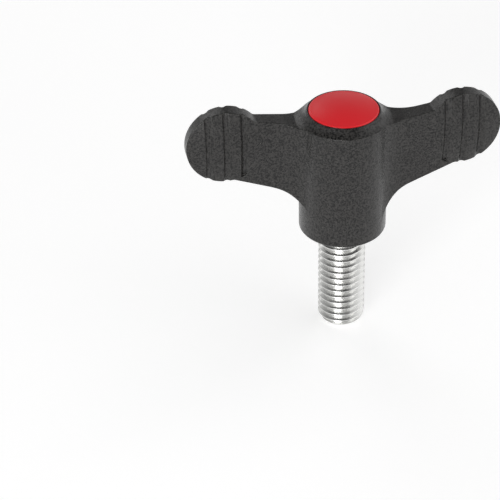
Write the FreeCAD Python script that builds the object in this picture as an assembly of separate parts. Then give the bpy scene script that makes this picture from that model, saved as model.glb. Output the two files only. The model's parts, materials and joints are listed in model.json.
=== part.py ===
"""Wing knob with an M8 stud and a snap-in cover cap.

Units are millimetres. The origin is the centre of the seat face, where the hub
bears on the machine. The stud points down -Z and the wings lie along X.
"""
import FreeCAD, Part
import math
import os

from FreeCAD import Vector

# Stud
stud_diameter = 8.0
stud_length = 20.0
stud_end_chamfer = 1.5
shank_diameter = 7.1
shank_length = 14.0
anchor_across_flats = 10.0
anchor_height = 4.0

# Hub and collar
hub_diameter = 14.6
hub_foot_radius = 0.4
crown_base_z = 19.0
shoulder_edge_z = 21.05
collar_top_z = 22.4
collar_land = 0.22
collar_edge_break = 0.1
flare_radius = 3.0

# Cover cap and its seat
cap_diameter = 11.5
cap_edge_height = 1.1
cap_proud = 0.15
cap_dome_rise = 0.55
cap_edge_radius = 0.3
skirt_diameter = 9.2
skirt_wall = 0.9
skirt_depth = 2.6
bead_height = 0.2
bead_half_width = 0.5
cap_clearance = 0.1
cavity_depth = 0.6

# Wings: the +X wing stands off the hub's axis towards the front, the -X wing towards the back
wing_offset = 1.6
tip_x = 19.4
tip_radius = 6.45
wing_half_at_end = 0.95
wing_face_draft = 1.9
outer_blend_radius = 6.5
inner_blend_radius = 7.0
root_overlap = 0.02
top_root_z = 20.7
top_slope = 0.155
top_inset = 1.6
under_slope = 0.37
under_inset = 0.9
under_straight_x = 10.8
under_arc_radius = 8.5
neck_radius = 1.0

# Domed grip faces and their grooves
dome_margin = 0.08
dome_rim_angle = 15.0
groove_count = 3
groove_pitch = 2.95
groove_width = 1.15
groove_floor_width = 0.35
groove_depth = 0.32

# Values that follow from the ones above
stud_radius = stud_diameter / 2
hub_radius = hub_diameter / 2
cap_radius = cap_diameter / 2
skirt_radius = skirt_diameter / 2
recess_radius = cap_radius + cap_clearance
collar_radius = recess_radius + collar_land
cap_top_z = collar_top_z + cap_proud
shoulder_z = cap_top_z - cap_edge_height
skirt_floor_z = shoulder_z - skirt_depth
bead_z = skirt_floor_z + bead_half_width
bore_floor_z = skirt_floor_z - cavity_depth
wing_end_x = tip_x + tip_radius
top_angle = math.atan(top_slope)
under_angle = math.atan(under_slope)
top_at_tip_z = top_root_z + (tip_x - hub_radius) * top_slope
tip_z = top_at_tip_z - (tip_radius - top_inset) / math.cos(top_angle)

UP = Vector(0, 0, 1)
ALONG = Vector(1, 0, 0)
ACROSS = Vector(0, 1, 0)
ORIGIN = Vector(0, 0, 0)

# A wing is made about its own middle plane, where the hub's axis stands at this place
HUB_AXIS = ACROSS * wing_offset


def line(a, b):
    return Part.LineSegment(a, b).toShape()


def arc(a, middle, b):
    return Part.Arc(a, middle, b).toShape()


def arc_about(centre, a, b):
    """Shorter arc from a to b about a centre."""
    out = (a - centre).normalize() + (b - centre).normalize()
    middle = centre + out.normalize() * (a - centre).Length
    return arc(a, middle, b)


def xz(x, z):
    return Vector(x, 0, z)


def turned(edges):
    """Solid of revolution about Z from edges in the XZ plane."""
    return Part.Face(Part.Wire(edges)).revolve(ORIGIN, UP, 360)


def blend(start, along, out, centre, radius, blend_radius, far):
    """Arc that blends a straight line into a circle outside both.

    Returns the arc's centre and its ends on the line and on the circle.
    """
    q = start + out * blend_radius - centre
    run = q.dot(along)
    reach = math.sqrt(run ** 2 - q.dot(q) + (radius + blend_radius) ** 2)
    step = -run + reach if far else -run - reach
    middle = start + along * step + out * blend_radius
    on_line = middle - out * blend_radius
    on_circle = centre + (middle - centre).normalize() * radius
    return middle, on_line, on_circle


def stud():
    """Steel stud with a chamfered end, a plain shank and a hexagon anchor in the hub."""
    end_radius = stud_radius - stud_end_chamfer
    threaded_length = stud_length - stud_end_chamfer
    end = Part.makeCone(end_radius, stud_radius, stud_end_chamfer, xz(0, -stud_length), UP)
    threaded = Part.makeCylinder(stud_radius, threaded_length, xz(0, -threaded_length), UP)
    shank = Part.makeCylinder(shank_diameter / 2, shank_length, ORIGIN, UP)
    corner_radius = anchor_across_flats / 2 / math.cos(math.pi / 6)
    anchor_z = shank_length - anchor_height
    corners = []
    for i in range(7):
        turn = i * math.pi / 3
        corners.append(Vector(corner_radius * math.cos(turn), corner_radius * math.sin(turn), anchor_z))
    anchor = Part.Face(Part.makePolygon(corners)).extrude(UP * anchor_height)
    return threaded.fuse([end, shank, anchor]).removeSplitter()


def snap_bead(clearance):
    """Ring of roof section that stands out of the skirt by the bead height."""
    root_x = skirt_radius - bead_height
    half = bead_half_width + clearance
    crest_x = skirt_radius + bead_height + clearance
    corners = [xz(root_x, bead_z - half), xz(crest_x, bead_z), xz(root_x, bead_z + half)]
    edges = [line(corners[0], corners[1]), line(corners[1], corners[2]), line(corners[2], corners[0])]
    return turned(edges)


def cap():
    """Domed cover with a skirt whose bead snaps into the hub's bore."""
    round_z = cap_top_z - cap_edge_radius
    round_x = cap_radius - cap_edge_radius
    peak_z = cap_top_z + cap_dome_rise
    dome_radius = (round_x ** 2 + cap_dome_rise ** 2) / 2 / cap_dome_rise
    half_x = round_x / 2
    half_z = peak_z - dome_radius + math.sqrt(dome_radius ** 2 - half_x ** 2)
    corners = [
        xz(0, shoulder_z),
        xz(skirt_radius - skirt_wall, shoulder_z),
        xz(skirt_radius - skirt_wall, skirt_floor_z),
        xz(skirt_radius, skirt_floor_z),
        xz(skirt_radius, shoulder_z),
        xz(cap_radius, shoulder_z),
        xz(cap_radius, round_z),
    ]
    edges = [line(a, b) for a, b in zip(corners, corners[1:])]
    edges.append(arc_about(xz(round_x, round_z), corners[-1], xz(round_x, cap_top_z)))
    edges.append(arc(xz(round_x, cap_top_z), xz(half_x, half_z), xz(0, peak_z)))
    edges.append(line(xz(0, peak_z), corners[0]))
    return turned(edges).fuse(snap_bead(0)).removeSplitter()


def cap_seat():
    """Recess for the cover, bore for its skirt and groove for its bead."""
    recess = Part.makeCylinder(recess_radius, 2 * cap_edge_height, xz(0, shoulder_z), UP)
    bore_depth = shoulder_z - bore_floor_z
    bore = Part.makeCylinder(skirt_radius + cap_clearance, bore_depth, xz(0, bore_floor_z), UP)
    return recess.fuse([bore, snap_bead(cap_clearance)])


def stem():
    """Round stem of the hub from its foot, whose edge is round, to the base of the crown."""
    foot_x = hub_radius - hub_foot_radius
    edges = [
        line(ORIGIN, xz(foot_x, 0)),
        arc_about(xz(foot_x, hub_foot_radius), xz(foot_x, 0), xz(hub_radius, hub_foot_radius)),
        line(xz(hub_radius, hub_foot_radius), xz(hub_radius, crown_base_z)),
        line(xz(hub_radius, crown_base_z), xz(0, crown_base_z)),
        line(xz(0, crown_base_z), ORIGIN),
    ]
    return turned(edges)


def crown_disc():
    """Turned disc whose top flares from the collar down to the wings' upper edges."""
    rim_x = collar_radius - collar_edge_break
    rim = xz(collar_radius, collar_top_z - collar_edge_break)
    half = (xz(hub_radius, shoulder_edge_z) - rim) * 0.5
    up_and_out = xz(-half.z, half.x).normalize()
    centre = rim + half + up_and_out * math.sqrt(flare_radius ** 2 - half.Length ** 2)
    lowest = centre - UP * flare_radius
    edges = [
        line(xz(0, crown_base_z), xz(centre.x, crown_base_z)),
        line(xz(centre.x, crown_base_z), lowest),
        arc_about(centre, lowest, rim),
        line(rim, xz(rim_x, collar_top_z)),
        line(xz(rim_x, collar_top_z), xz(0, collar_top_z)),
        line(xz(0, collar_top_z), xz(0, crown_base_z)),
    ]
    return turned(edges)


def wing_face(side, blend_radius):
    """Plan of one drafted face of the wing, from the hub's axis to beyond the wing's end."""
    draft = math.radians(wing_face_draft)
    along = Vector(math.cos(draft), -side * math.sin(draft), 0)
    out = Vector(math.sin(draft), side * math.cos(draft), 0)
    end = Vector(wing_end_x, side * wing_half_at_end, 0)
    root_radius = hub_radius - root_overlap
    centre, on_face, on_hub = blend(end, along, out, HUB_AXIS, root_radius, blend_radius, True)
    beyond = end + along * tip_radius
    return [line(HUB_AXIS, on_hub), arc_about(centre, on_hub, on_face), line(on_face, beyond)], beyond


def plan_solid():
    """Upright prism of one wing seen from above, blended into the hub's side."""
    inner, inner_end = wing_face(1, inner_blend_radius)
    outer, outer_end = wing_face(-1, outer_blend_radius)
    outline = Part.Wire(Part.__sortEdges__(inner + outer + [line(inner_end, outer_end)]))
    return Part.Face(outline).extrude(UP * (tip_z + 2 * tip_radius))


def side_solid():
    """Prism across the body of the wing's outline seen from the front."""
    tip = xz(tip_x, tip_z)
    along_top = xz(math.cos(top_angle), math.sin(top_angle))
    out_top = xz(-math.sin(top_angle), math.cos(top_angle))
    root = xz(0, top_root_z - hub_radius * top_slope)
    top_neck, top_line, top_tip = blend(root, along_top, out_top, tip, tip_radius, neck_radius, False)
    along_under = xz(math.cos(under_angle), math.sin(under_angle))
    out_under = xz(math.sin(under_angle), -math.cos(under_angle))
    under_tip = tip + out_under * (tip_radius - under_inset)
    bend = under_tip + along_under * ((under_straight_x - under_tip.x) / along_under.x)
    low_neck, low_line, low_tip = blend(bend, along_under, out_under, tip, tip_radius, neck_radius, False)
    arc_centre = bend + out_under * under_arc_radius
    inner = arc_centre - ALONG * under_arc_radius
    edges = [
        line(root, top_line),
        arc_about(top_neck, top_line, top_tip),
        arc(top_tip, xz(wing_end_x, tip_z), low_tip),
        arc_about(low_neck, low_tip, low_line),
        line(low_line, bend),
        arc_about(arc_centre, bend, inner),
        line(inner, xz(0, inner.z)),
        line(xz(0, inner.z), root),
    ]
    face = Part.Face(Part.Wire(edges))
    face.translate(ACROSS * -hub_diameter)
    return face.extrude(ACROSS * (2 * hub_diameter))


def dome_centre():
    """Centre and radius of the sphere that crowns the front grip face."""
    draft = math.radians(wing_face_draft)
    rim_radius = tip_radius + dome_margin
    sphere_radius = rim_radius / math.sin(math.radians(dome_rim_angle))
    half = wing_half_at_end + tip_radius * math.tan(draft)
    inward = Vector(-math.sin(draft), math.cos(draft), 0)
    offset = sphere_radius * math.cos(math.radians(dome_rim_angle))
    return Vector(tip_x, -half, tip_z) + inward * offset, sphere_radius


def grip_lens():
    """Two-sided crown of the grip, the overlap of two spheres."""
    centre, radius = dome_centre()
    front = Part.makeSphere(radius, centre)
    return front.common(front.mirror(ORIGIN, ACROSS))


def grooves():
    """Finger grooves of one depth in both grip faces, which end at the grip's round rim."""
    centre, radius = dome_centre()
    low_end = Vector(tip_x, -hub_diameter, tip_z)
    rim = Part.makeCylinder(tip_radius + dome_margin, 2 * hub_diameter, low_end, ACROSS)
    floor_half = groove_floor_width / 2
    mouth_half = groove_width - floor_half
    rings = []
    for i in range(groove_count):
        x = tip_x + (i - (groove_count - 1) / 2) * groove_pitch
        reach = math.sqrt(radius ** 2 - (x - centre.x) ** 2)
        floor_y = centre.y - reach + groove_depth
        mouth_y = floor_y - 2 * groove_depth
        section = Part.makePolygon([
            Vector(x - floor_half, floor_y, centre.z),
            Vector(x + floor_half, floor_y, centre.z),
            Vector(x + mouth_half, mouth_y, centre.z),
            Vector(x - mouth_half, mouth_y, centre.z),
            Vector(x - floor_half, floor_y, centre.z),
        ])
        ring = Part.Face(section).revolve(centre, ALONG, 360).common(rim)
        rings.append(ring)
        rings.append(ring.mirror(ORIGIN, ACROSS))
    return rings


def placed_wing(shape, turn):
    """A wing's solid moved from its own middle plane to its place beside the hub's axis."""
    placed = shape.copy()
    placed.translate(HUB_AXIS * -1)
    placed.rotate(ORIGIN, UP, turn)
    return placed


def body():
    """One-piece moulding: hub, collar and two wings, hollowed for cap and stud."""
    plan = plan_solid()
    wing = plan.fuse(grip_lens()).common(side_solid()).cut(grooves())
    crown_plan = Part.makeCylinder(hub_radius, collar_top_z, ORIGIN, UP)
    crown_plan = crown_plan.fuse([placed_wing(plan, 0), placed_wing(plan, 180)])
    crown = crown_disc().common(crown_plan)
    moulding = stem().fuse([crown, placed_wing(wing, 0), placed_wing(wing, 180)])
    return moulding.cut([cap_seat(), stud()]).removeSplitter()


def solid_of(shape):
    """The single solid of a boolean result."""
    if len(shape.Solids) != 1:
        raise ValueError("expected one solid, got %d" % len(shape.Solids))
    return shape.Solids[0]


def main():
    os.makedirs("parts", exist_ok=True)
    pieces = {"wing_body": body(), "threaded_stud": stud(), "cover_cap": cap()}
    for name, shape in pieces.items():
        solid = solid_of(shape)
        solid.exportStep("parts/%s.step" % name)
        box = solid.BoundBox
        print(name, "valid", solid.isValid(), "volume %.2f" % solid.Volume,
              "x %.2f %.2f" % (box.XMin, box.XMax), "z %.2f %.2f" % (box.ZMin, box.ZMax))


if __name__ == "__main__":
    main()
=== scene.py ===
import json
import math

import bpy
from mathutils import Euler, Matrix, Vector

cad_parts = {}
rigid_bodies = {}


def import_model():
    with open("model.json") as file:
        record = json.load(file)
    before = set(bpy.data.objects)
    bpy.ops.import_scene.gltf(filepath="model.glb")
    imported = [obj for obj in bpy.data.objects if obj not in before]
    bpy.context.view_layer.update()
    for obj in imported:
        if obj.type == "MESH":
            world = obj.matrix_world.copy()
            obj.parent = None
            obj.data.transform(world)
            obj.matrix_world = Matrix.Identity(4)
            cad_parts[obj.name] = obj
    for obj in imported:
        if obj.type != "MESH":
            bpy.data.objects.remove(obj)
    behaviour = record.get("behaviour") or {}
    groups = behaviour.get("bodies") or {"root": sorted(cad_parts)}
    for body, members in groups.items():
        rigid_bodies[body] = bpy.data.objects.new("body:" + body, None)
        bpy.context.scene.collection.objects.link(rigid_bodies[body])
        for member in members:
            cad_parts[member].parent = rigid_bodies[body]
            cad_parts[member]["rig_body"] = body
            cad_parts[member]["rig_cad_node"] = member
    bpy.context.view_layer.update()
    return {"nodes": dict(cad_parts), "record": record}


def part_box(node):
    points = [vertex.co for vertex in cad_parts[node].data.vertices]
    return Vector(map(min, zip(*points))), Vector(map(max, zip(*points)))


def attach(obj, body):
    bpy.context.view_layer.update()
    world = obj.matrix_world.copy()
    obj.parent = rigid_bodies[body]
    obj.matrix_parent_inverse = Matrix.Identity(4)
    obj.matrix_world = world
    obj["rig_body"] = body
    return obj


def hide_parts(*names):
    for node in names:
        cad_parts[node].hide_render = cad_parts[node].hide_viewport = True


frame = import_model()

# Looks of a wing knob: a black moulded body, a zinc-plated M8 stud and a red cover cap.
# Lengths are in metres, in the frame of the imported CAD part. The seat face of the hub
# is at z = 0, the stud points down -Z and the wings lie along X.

bl_info = {
    "name": "Wing Knob",
    "version": (1, 0, 0),
    "blender": (4, 5, 0),
    "location": "3D View > Sidebar > Wing Knob",
    "description": "Models and dresses a wing knob with a threaded stud and a cover cap",
    "category": "Object",
}

MM = 0.001

STUD_LOW, STUD_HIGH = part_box("threaded_stud")
STUD_MOUNT = next(m for m in frame["record"]["mounts"] if m["name"] == "stud")
STUD_RADIUS = STUD_MOUNT["dims"]["r_mm"] * MM
STUD_END_CHAMFER = -STUD_LOW.z - STUD_MOUNT["dims"]["length_mm"] * MM

# The stud's part inside the hub, as the CAD node has it: a shank and a hexagon anchor, which
# is as wide over its flats as the whole node is along Y.
ANCHOR_SIDES = 6
ANCHOR_FLATS = STUD_HIGH.y - STUD_LOW.y
ANCHOR_HEIGHT = 4.0 * MM
SHANK_RADIUS = 3.55 * MM

# ISO metric thread: its crest and its depth as shares of the pitch, and how steep its flanks are.
CREST_SHARE = 1 / 8
DEPTH_SHARE = 0.6134
FLANK_ANGLE = math.radians(30)

# How finely the thread is modelled: steps in one turn and in each rounded corner. The spare
# turns, half of them at each end, are cut away again.
THREAD_STEPS = 64
CORNER_STEPS = 3
SPARE_TURNS = 3

# Distances that count as none: between the corners of CAD triangles, between points of the
# thread, at a cut, and between a point and the height at which it is looked for.
CAD_GAP = 0.0005 * MM
THREAD_GAP = 0.001 * MM
CUT_GAP = 0.00001 * MM
HEIGHT_GAP = 0.01 * MM

# Faces that meet at less than this angle are shaded as one curved face.
BODY_SMOOTH_ANGLE = math.radians(28)
STUD_SMOOTH_ANGLE = math.radians(25)
CAP_SMOOTH_ANGLE = math.radians(30)

# Widths of the plate's cloudy patches and of the faint waves in the cap's gloss.
CLOUD_WIDTH = 1.5 * MM
WAVE_WIDTH = 1.2 * MM

# How the panel shows lengths and colours.
LENGTH = {"precision": 5, "subtype": "DISTANCE", "unit": "LENGTH"}
COLOUR = {"size": 4, "min": 0.0, "max": 1.0, "subtype": "COLOR"}


def linear(code):
    """sRGB hex colour as a linear RGBA tuple."""
    channels = [int(code[i:i + 2], 16) / 255 for i in (0, 2, 4)]
    light = [c / 12.92 if c <= 0.04045 else ((c + 0.055) / 1.055) ** 2.4 for c in channels]
    return (*light, 1.0)


class WingKnobSizes(bpy.types.PropertyGroup):
    thread_pitch: bpy.props.FloatProperty(
        name="Thread pitch", description="Distance from one thread crest to the next",
        default=1.25 * MM, min=0.5 * MM, max=2 * MM, **LENGTH)
    thread_rounding: bpy.props.FloatProperty(
        name="Thread rounding",
        description="Length that the rolling takes off each side of the thread's corners",
        default=0.075 * MM, min=0.01 * MM, max=0.1 * MM, **LENGTH)
    edge_radius: bpy.props.FloatProperty(
        name="Moulded edge radius",
        description="Rounding that the mould leaves on the body's edges",
        default=0.22 * MM, min=0.0, max=1 * MM, **LENGTH)
    grain_width: bpy.props.FloatProperty(
        name="Grain width",
        description="Width of one pit of the spark-eroded grain, coarser than the real one",
        default=0.3 * MM, min=0.05 * MM, max=1 * MM, **LENGTH)


class WingKnobColours(bpy.types.PropertyGroup):
    body: bpy.props.FloatVectorProperty(
        name="Body", description="Colour of the moulded body",
        default=linear("232221"), **COLOUR)
    cap: bpy.props.FloatVectorProperty(
        name="Cover cap", description="Colour of the cover cap",
        default=linear("e21c26"), **COLOUR)
    stud: bpy.props.FloatVectorProperty(
        name="Stud", description="Colour of the zinc plate on the stud",
        default=linear("dcdcda"), **COLOUR)


def deselect_all():
    """Leave edit mode and select nothing."""
    if bpy.context.object and bpy.context.object.mode != "OBJECT":
        bpy.ops.object.mode_set(mode="OBJECT")
    bpy.ops.object.select_all(action="DESELECT")


def make_active(piece):
    """Select one piece alone and make it the active one."""
    deselect_all()
    piece.select_set(True)
    bpy.context.view_layer.objects.active = piece


def edit_mesh(piece, operator, **settings):
    """Run one edit mode operator on all of a piece's mesh."""
    make_active(piece)
    bpy.ops.object.mode_set(mode="EDIT")
    bpy.ops.mesh.select_all(action="SELECT")
    operator(**settings)
    bpy.ops.object.mode_set(mode="OBJECT")


def add_node(tree, kind, sockets=None, **settings):
    """Add a node, set its options and fill its sockets with values or links."""
    made = tree.nodes.new(kind)
    for name, value in settings.items():
        setattr(made, name, value)
    for name, value in (sockets or {}).items():
        if isinstance(value, bpy.types.NodeSocket):
            tree.links.new(value, made.inputs[name])
        else:
            made.inputs[name].default_value = value
    return made


def new_material(name):
    """Empty node material and its tree."""
    material = bpy.data.materials.new(name)
    material.use_nodes = True
    material.node_tree.nodes.clear()
    return material, material.node_tree


def black_moulded_plastic(colour, grain_width, edge_radius):
    """Glass-filled thermoplastic, moulded in a spark-eroded tool.

    The eye sees a soft dark grey with fine lighter and darker specks, no sharp
    reflection, and a thin pale line along each rounded edge. Such a grain is about
    0.1 mm wide, too fine to show in the picture, so it is drawn coarser.
    """
    material, tree = new_material("black glass-filled thermoplastic, spark-eroded grain")
    place = add_node(tree, "ShaderNodeTexCoord")
    grain = add_node(tree, "ShaderNodeTexNoise", {
        "Vector": place.outputs["Object"], "Scale": 1 / grain_width,
        "Detail": 1.0, "Roughness": 0.6})
    specks = add_node(tree, "ShaderNodeMapRange", {
        "Value": grain.outputs["Fac"],
        "From Min": 0.36, "From Max": 0.64, "To Min": 0.05, "To Max": 2.3})
    tint = add_node(tree, "ShaderNodeVectorMath", {0: colour[:3]}, operation="SCALE")
    tree.links.new(specks.outputs["Result"], tint.inputs["Scale"])
    rough = add_node(tree, "ShaderNodeMapRange", {
        "Value": grain.outputs["Fac"],
        "From Min": 0.3, "From Max": 0.7, "To Min": 0.36, "To Max": 0.25})
    edges = add_node(tree, "ShaderNodeBevel", {"Radius": edge_radius}, samples=6)
    bump = add_node(tree, "ShaderNodeBump", {
        "Height": grain.outputs["Fac"], "Strength": 0.4, "Distance": grain_width / 3,
        "Normal": edges.outputs["Normal"]})
    surface = add_node(tree, "ShaderNodeBsdfPrincipled", {
        "Base Color": tint.outputs["Vector"], "Roughness": rough.outputs["Result"], "IOR": 1.42,
        "Normal": bump.outputs["Normal"]})
    add_node(tree, "ShaderNodeOutputMaterial", {"Surface": surface.outputs["BSDF"]})
    return material


def bright_zinc_plate(colour):
    """Steel with a rolled thread and bright zinc plate.

    The eye sees a light silver metal with soft reflections, a bright line along each
    rounded crest of the thread, and faint cloudy patches.
    """
    material, tree = new_material("bright zinc plate on rolled steel")
    place = add_node(tree, "ShaderNodeTexCoord")
    clouds = add_node(tree, "ShaderNodeTexNoise", {
        "Vector": place.outputs["Object"], "Scale": 1 / CLOUD_WIDTH,
        "Detail": 3.0, "Roughness": 0.6})
    rough = add_node(tree, "ShaderNodeMapRange", {
        "Value": clouds.outputs["Fac"],
        "From Min": 0.3, "From Max": 0.7, "To Min": 0.2, "To Max": 0.32})
    surface = add_node(tree, "ShaderNodeBsdfPrincipled", {
        "Base Color": colour, "Metallic": 1.0, "Roughness": rough.outputs["Result"]})
    add_node(tree, "ShaderNodeOutputMaterial", {"Surface": surface.outputs["BSDF"]})
    return material


def red_gloss_plastic(colour):
    """Unfilled thermoplastic from a finely polished mould.

    The eye sees an even, warm red with one broad soft sheen across the dome.
    """
    material, tree = new_material("red thermoplastic, satin gloss")
    place = add_node(tree, "ShaderNodeTexCoord")
    waves = add_node(tree, "ShaderNodeTexNoise", {
        "Vector": place.outputs["Object"], "Scale": 1 / WAVE_WIDTH, "Detail": 1.0})
    bump = add_node(tree, "ShaderNodeBump", {
        "Height": waves.outputs["Fac"], "Strength": 0.04, "Distance": 0.05 * MM})
    surface = add_node(tree, "ShaderNodeBsdfPrincipled", {
        "Base Color": colour, "Roughness": 0.32, "IOR": 1.45, "Normal": bump.outputs["Normal"]})
    add_node(tree, "ShaderNodeOutputMaterial", {"Surface": surface.outputs["BSDF"]})
    return material


def merged_copy(node, name, smooth_angle):
    """Copy of a CAD node with its triangles joined and its curved faces smooth."""
    make_active(frame["nodes"][node])
    bpy.ops.object.duplicate()
    piece = bpy.context.object
    piece.name = name
    piece.parent = None
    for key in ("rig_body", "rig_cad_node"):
        del piece[key]
    bpy.ops.mesh.customdata_custom_splitnormals_clear()
    edit_mesh(piece, bpy.ops.mesh.remove_doubles, threshold=CAD_GAP)
    bpy.ops.object.shade_smooth_by_angle(angle=smooth_angle)
    return piece


def dress(piece, node, material):
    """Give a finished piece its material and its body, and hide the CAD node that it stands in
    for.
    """
    piece.data.materials.clear()
    piece.data.materials.append(material)
    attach(piece, "root")
    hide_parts(node)


def single_point(name, place):
    """Mesh object of one vertex at a place, with its origin on the stud's axis, in edit mode."""
    deselect_all()
    bpy.ops.mesh.primitive_plane_add(size=MM, location=place)
    piece = bpy.context.object
    piece.name = name
    bpy.ops.object.transform_apply(location=True, rotation=True, scale=True)
    bpy.ops.object.mode_set(mode="EDIT")
    bpy.ops.mesh.select_all(action="SELECT")
    bpy.ops.mesh.merge(type="CENTER")
    return piece


def draw_on(x, z):
    """Extend the outline being drawn in edit mode by one straight leg in the XZ plane."""
    bpy.ops.mesh.extrude_region_move(TRANSFORM_OT_translate={"value": (x, 0, z)})


def apply_modifier(piece, kind, **settings):
    """Add one modifier to a piece and apply it."""
    make_active(piece)
    modifier = piece.modifiers.new(kind.lower(), kind)
    for name, value in settings.items():
        setattr(modifier, name, value)
    bpy.ops.object.modifier_apply(modifier=modifier.name)


def combine(piece, other, operation):
    """Join another closed solid to a piece, or keep what both share, and delete the other."""
    apply_modifier(piece, "BOOLEAN", operation=operation, solver="EXACT", object=other)
    bpy.data.objects.remove(other)


def cut_off(piece, height, keep_below):
    """Cut a closed mesh square at a height and close the cut."""
    edit_mesh(
        piece, bpy.ops.mesh.bisect, plane_co=(0, 0, height), plane_no=(0, 0, 1), use_fill=True,
        threshold=CUT_GAP, clear_outer=keep_below, clear_inner=not keep_below)


def prism(name, vertices, radius, low, high):
    """Upright prism on the stud's axis, between two heights, with its corners at a radius."""
    deselect_all()
    bpy.ops.mesh.primitive_cylinder_add(
        vertices=vertices, radius=radius, depth=high - low, location=(0, 0, (low + high) / 2))
    piece = bpy.context.object
    piece.name = name
    bpy.ops.object.transform_apply(location=True, rotation=True, scale=True)
    return piece


def round_corners(piece, low, high, length):
    """Round the corners of the outline being drawn, apart from its two ends."""
    bpy.ops.object.mode_set(mode="OBJECT")
    for corner in piece.data.vertices:
        corner.select = low + HEIGHT_GAP < corner.co.z < high - HEIGHT_GAP
    bpy.ops.object.mode_set(mode="EDIT")
    bpy.ops.mesh.bevel(offset=length, segments=CORNER_STEPS, affect="VERTICES")
    bpy.ops.object.mode_set(mode="OBJECT")


def helical_thread(pitch, rounding):
    """Right-hand thread from the seat face to half a turn past the stud's end, closed all over."""
    depth = pitch * DEPTH_SHARE
    flank = depth * math.tan(FLANK_ANGLE)
    crest = pitch * CREST_SHARE
    root = pitch - 2 * flank - crest
    turns = math.ceil(-STUD_LOW.z / pitch) + SPARE_TURNS
    start = Vector((STUD_RADIUS - depth, 0, STUD_LOW.z - SPARE_TURNS / 2 * pitch))
    piece = single_point("threaded_stud_steel", start)
    draw_on(0, root / 2)
    draw_on(depth, flank)
    draw_on(0, crest)
    draw_on(-depth, flank)
    draw_on(0, root / 2)
    round_corners(piece, start.z, start.z + pitch, rounding)
    apply_modifier(
        piece, "SCREW", axis="Z", angle=math.tau, screw_offset=pitch, iterations=turns,
        steps=THREAD_STEPS, render_steps=THREAD_STEPS, use_merge_vertices=True,
        merge_threshold=THREAD_GAP, use_normal_calculate=True)
    edit_mesh(piece, bpy.ops.mesh.remove_doubles, threshold=THREAD_GAP)
    cut_off(piece, 0, keep_below=True)
    cut_off(piece, STUD_LOW.z - pitch / 2, keep_below=False)
    edit_mesh(piece, bpy.ops.mesh.normals_make_consistent, inside=False)
    return piece


def chamfered_blank():
    """Round bar with the stud's end chamfer, a little longer than the thread at the top."""
    bar = prism("blank", 2 * THREAD_STEPS, STUD_RADIUS, STUD_LOW.z, STUD_END_CHAMFER)
    bpy.ops.object.mode_set(mode="EDIT")
    bpy.ops.mesh.select_mode(type="EDGE")
    bpy.ops.mesh.select_all(action="DESELECT")
    bpy.ops.object.mode_set(mode="OBJECT")
    corners = bar.data.vertices
    for edge in bar.data.edges:
        edge.select = all(corners[i].co.z < STUD_LOW.z + HEIGHT_GAP for i in edge.vertices)
    bpy.ops.object.mode_set(mode="EDIT")
    bpy.ops.mesh.bevel(offset=STUD_END_CHAMFER, segments=1, affect="EDGES")
    bpy.ops.object.mode_set(mode="OBJECT")
    return bar


class WINGKNOB_OT_body(bpy.types.Operator):
    """Dress the moulded body: hub, collar and wings in one piece of black plastic"""
    bl_idname = "wing_knob.body"
    bl_label = "Moulded body"

    def execute(self, context):
        sizes = context.scene.wing_knob_sizes
        colours = context.scene.wing_knob_colours
        piece = merged_copy("wing_body", "wing_body_moulding", BODY_SMOOTH_ANGLE)
        dress(piece, "wing_body",
              black_moulded_plastic(colours.body, sizes.grain_width, sizes.edge_radius))
        return {"FINISHED"}


class WINGKNOB_OT_stud(bpy.types.Operator):
    """Model the steel stud: a rolled thread with a chamfered end, a shank and a hexagon anchor"""
    bl_idname = "wing_knob.stud"
    bl_label = "Threaded stud"

    def execute(self, context):
        sizes = context.scene.wing_knob_sizes
        colours = context.scene.wing_knob_colours
        piece = helical_thread(sizes.thread_pitch, sizes.thread_rounding)
        bar = chamfered_blank()
        combine(piece, bar, "INTERSECT")
        anchor_low = STUD_HIGH.z - ANCHOR_HEIGHT
        shank = prism("shank", THREAD_STEPS, SHANK_RADIUS, 0, anchor_low)
        half_side = math.pi / ANCHOR_SIDES
        corner_radius = ANCHOR_FLATS / 2 / math.cos(half_side)
        anchor = prism("anchor", ANCHOR_SIDES, corner_radius, anchor_low, STUD_HIGH.z)
        # A new prism has a corner on Y. Half a side's turn puts a flat there.
        edit_mesh(
            anchor, bpy.ops.transform.rotate, value=half_side, orient_axis="Z",
            center_override=(0, 0, 0))
        combine(piece, shank, "UNION")
        combine(piece, anchor, "UNION")
        bpy.ops.object.shade_smooth_by_angle(angle=STUD_SMOOTH_ANGLE)
        dress(piece, "threaded_stud", bright_zinc_plate(colours.stud))
        return {"FINISHED"}


class WINGKNOB_OT_cap(bpy.types.Operator):
    """Dress the domed cover cap that snaps into the collar"""
    bl_idname = "wing_knob.cap"
    bl_label = "Cover cap"

    def execute(self, context):
        colours = context.scene.wing_knob_colours
        piece = merged_copy("cover_cap", "cover_cap_moulding", CAP_SMOOTH_ANGLE)
        dress(piece, "cover_cap", red_gloss_plastic(colours.cap))
        return {"FINISHED"}


# Camera: how it is turned, how far it stands from the knob, and, as shares of the picture's
# width, its focal length and the place of the seat face's centre from the top left corner.
PICTURE_WIDTH = 500
CAMERA_YAW = math.radians(-11.03)
CAMERA_ELEVATION = math.radians(35.95)
CAMERA_ROLL = math.radians(-1.31)
CAMERA_DISTANCE = 300 * MM
FOCAL_SHARE = 1780.8 / PICTURE_WIDTH
ORIGIN_IN_PICTURE = Vector((342.11 / PICTURE_WIDTH, 222.99 / PICTURE_WIDTH))
SENSOR_WIDTH = 36.0
CLIP_START = 10 * MM
CLIP_END = 10.0

# Soft lamps, all turned to the knob's middle: name, place, width and height, and watts.
KNOB_MIDDLE = Vector((0, 0, 10 * MM))
LAMPS = (
    ("front left", (-0.38, -0.58, 0.14), (0.4, 0.28), 2.9),
    ("front right", (0.49, -0.49, 0.14), (0.4, 0.28), 0.5),
    ("right", (0.55, 0.0, 0.45), (0.9, 0.9), 1.5),
    ("back", (-0.16, 0.58, 0.34), (0.4, 0.3), 0.45),
)

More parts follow.
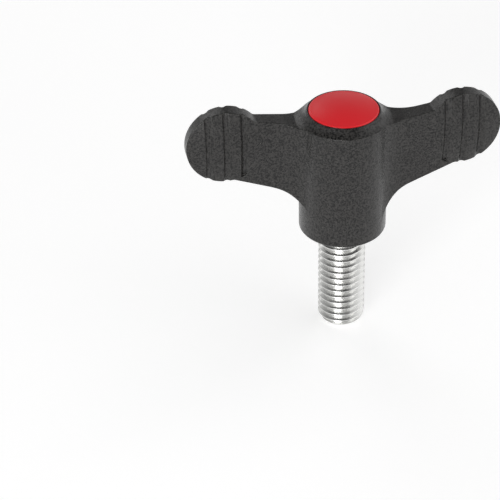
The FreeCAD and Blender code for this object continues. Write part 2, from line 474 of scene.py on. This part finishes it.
# Studio: the paper's own glow, the room's even light and the levels of its wall and its dark
# ceiling are shares of white. The wall's upper edge is soft, between two heights that are
# sines of the angle over the horizon, and it rises to the left and the right by a slope.
FLOOR_SIZE = 4.0
WHITE = (1.0, 1.0, 1.0, 1.0)
PAPER_COLOUR = (0.9, 0.9, 0.9, 1.0)
PAPER_GLOW = 0.32
ROOM_LEVEL = 0.45
WALL_LEVEL = 0.62
CEILING_LEVEL = 0.08
WALL_TOP_LOW = 0.0
WALL_TOP_HIGH = 0.55
WALL_SLOPE = 0.6


def add_camera():
    """Camera that sees the seat face's centre at its place in the picture."""
    direction = Vector((
        -math.sin(CAMERA_YAW) * math.cos(CAMERA_ELEVATION),
        math.cos(CAMERA_YAW) * math.cos(CAMERA_ELEVATION),
        -math.sin(CAMERA_ELEVATION)))
    turned = direction.to_track_quat("-Z", "Y").to_matrix()
    turned = turned @ Euler((0, 0, CAMERA_ROLL)).to_matrix()
    right, up = turned.col[0], turned.col[1]
    aside = (ORIGIN_IN_PICTURE.x - 0.5) / FOCAL_SHARE * CAMERA_DISTANCE
    down = (ORIGIN_IN_PICTURE.y - 0.5) / FOCAL_SHARE * CAMERA_DISTANCE
    place = -(direction * CAMERA_DISTANCE + right * aside - up * down)
    bpy.ops.object.camera_add(location=place, rotation=turned.to_euler())
    camera = bpy.context.object
    camera.data.sensor_width = SENSOR_WIDTH
    camera.data.lens = FOCAL_SHARE * SENSOR_WIDTH
    camera.data.clip_start = CLIP_START
    camera.data.clip_end = CLIP_END
    bpy.context.scene.camera = camera


def add_softbox(name, place, size, power):
    """Rectangular lamp at a place, turned to the middle of the knob."""
    deselect_all()
    toward = (KNOB_MIDDLE - Vector(place)).to_track_quat("-Z", "Y").to_euler()
    bpy.ops.object.light_add(type="AREA", location=place, rotation=toward)
    lamp = bpy.context.object
    lamp.name = name
    lamp.data.shape = "RECTANGLE"
    lamp.data.size, lamp.data.size_y = size
    lamp.data.energy = power


def seen_directly(tree):
    """Factor of 1 for what the camera sees, straight or mirrored in a glossy surface."""
    rays = add_node(tree, "ShaderNodeLightPath")
    return add_node(tree, "ShaderNodeMath", {
        0: rays.outputs["Is Camera Ray"], 1: rays.outputs["Is Glossy Ray"]}, operation="MAXIMUM")


def white_floor():
    """Seamless white paper: it looks white, apart from the knob's soft shadow."""
    material, tree = new_material("white backdrop paper")
    paper = add_node(tree, "ShaderNodeBsdfDiffuse", {"Color": PAPER_COLOUR})
    glow = add_node(tree, "ShaderNodeEmission", {"Color": WHITE, "Strength": PAPER_GLOW})
    lit = add_node(tree, "ShaderNodeAddShader", {
        0: paper.outputs["BSDF"], 1: glow.outputs["Emission"]})
    mixed = add_node(tree, "ShaderNodeMixShader", {
        0: seen_directly(tree).outputs["Value"],
        1: paper.outputs["BSDF"], 2: lit.outputs["Shader"]})
    add_node(tree, "ShaderNodeOutputMaterial", {"Surface": mixed.outputs["Shader"]})
    return material


def white_world():
    """Surroundings: the camera sees white all over, and the room's own light is even.

    What shines on the knob mirrors a pale wall round the horizon, which darkens
    towards the ceiling.
    """
    world = bpy.data.worlds.new("white studio")
    bpy.context.scene.world = world
    world.use_nodes = True
    tree = world.node_tree
    tree.nodes.clear()
    direction = add_node(tree, "ShaderNodeTexCoord")
    height = add_node(tree, "ShaderNodeSeparateXYZ", {"Vector": direction.outputs["Generated"]})
    aside = add_node(tree, "ShaderNodeMath", {0: height.outputs["X"]}, operation="ABSOLUTE")
    above = add_node(tree, "ShaderNodeMath", {
        0: aside.outputs["Value"], 1: -WALL_SLOPE, 2: height.outputs["Z"]},
        operation="MULTIPLY_ADD")
    wall = add_node(tree, "ShaderNodeMapRange", {
        "Value": above.outputs["Value"], "From Min": WALL_TOP_LOW, "From Max": WALL_TOP_HIGH,
        "To Min": WALL_LEVEL, "To Max": CEILING_LEVEL})
    rays = add_node(tree, "ShaderNodeLightPath")
    mirrored = add_node(tree, "ShaderNodeMix", {
        0: rays.outputs["Is Glossy Ray"], 2: ROOM_LEVEL, 3: wall.outputs["Result"]})
    level = add_node(tree, "ShaderNodeMix", {
        0: rays.outputs["Is Camera Ray"], 2: mirrored.outputs[0], 3: 1.0})
    sky = add_node(tree, "ShaderNodeBackground", {"Color": WHITE, "Strength": level.outputs[0]})
    add_node(tree, "ShaderNodeOutputWorld", {"Surface": sky.outputs["Background"]})


class WINGKNOB_OT_stage(bpy.types.Operator):
    """Set up the white floor, the soft lamps, the surroundings and the camera"""
    bl_idname = "wing_knob.stage"
    bl_label = "Studio"

    def execute(self, context):
        deselect_all()
        bpy.ops.mesh.primitive_plane_add(size=FLOOR_SIZE, location=(0, 0, STUD_LOW.z))
        floor = bpy.context.object
        floor.name = "floor"
        floor.data.materials.append(white_floor())
        for name, place, size, power in LAMPS:
            add_softbox(name, place, size, power)
        white_world()
        context.scene.view_settings.view_transform = "Standard"
        add_camera()
        return {"FINISHED"}


class WINGKNOB_PT_panel(bpy.types.Panel):
    """Sidebar panel with the knob's sizes and colours and a button for each piece"""
    bl_idname = "WINGKNOB_PT_panel"
    bl_label = "Wing Knob"
    bl_space_type = "VIEW_3D"
    bl_region_type = "UI"
    bl_category = "Wing Knob"

    def draw(self, context):
        layout = self.layout
        for group in (context.scene.wing_knob_sizes, context.scene.wing_knob_colours):
            for name in group.bl_rna.properties.keys():
                if name not in ("name", "rna_type"):
                    layout.prop(group, name)
        for operator in OPERATORS:
            layout.operator(operator.bl_idname)


GROUPS = (WingKnobSizes, WingKnobColours)
OPERATORS = (WINGKNOB_OT_body, WINGKNOB_OT_stud, WINGKNOB_OT_cap, WINGKNOB_OT_stage)
CLASSES = GROUPS + OPERATORS + (WINGKNOB_PT_panel,)


def register():
    for item in CLASSES:
        bpy.utils.register_class(item)
    bpy.types.Scene.wing_knob_sizes = bpy.props.PointerProperty(type=WingKnobSizes)
    bpy.types.Scene.wing_knob_colours = bpy.props.PointerProperty(type=WingKnobColours)


def unregister():
    del bpy.types.Scene.wing_knob_colours
    del bpy.types.Scene.wing_knob_sizes
    for item in reversed(CLASSES):
        bpy.utils.unregister_class(item)


def main():
    """Register the add-on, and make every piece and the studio."""
    register()
    bpy.ops.wing_knob.body()
    bpy.ops.wing_knob.stud()
    bpy.ops.wing_knob.cap()
    bpy.ops.wing_knob.stage()


if __name__ == "__main__":
    main()
